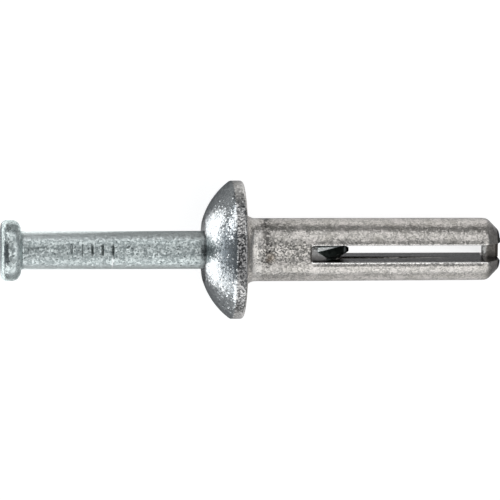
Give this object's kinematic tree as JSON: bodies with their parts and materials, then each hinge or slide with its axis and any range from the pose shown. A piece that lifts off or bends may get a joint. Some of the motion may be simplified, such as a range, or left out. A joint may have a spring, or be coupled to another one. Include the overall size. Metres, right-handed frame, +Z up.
{
  "type": "hammer drive anchor",
  "caption": "Hammer drive anchor with a die-cast mushroom head and split shank, and a plated steel drive pin standing part way in, lying on its side",
  "frame": {"origin": "bottom centre of the bounding box, on the surface that the anchor lies on", "axes": "+X along the shank's length from pin head to split tip (the axis leans 9.2 degrees, tip down), +Y sideways across the slot's width, +Z up, which is the way that the slot passes through"},
  "size_m": [0.0492, 0.0136, 0.0136],
  "materials": {
    "cast_zinc": "as-cast, satin",
    "zinc_plated_steel": "zinc plated, satin"
  },
  "bodies": {
    "root": {"anchor_body": "cast_zinc", "drive_pin": "zinc_plated_steel"}
  },
  "joints": []
}
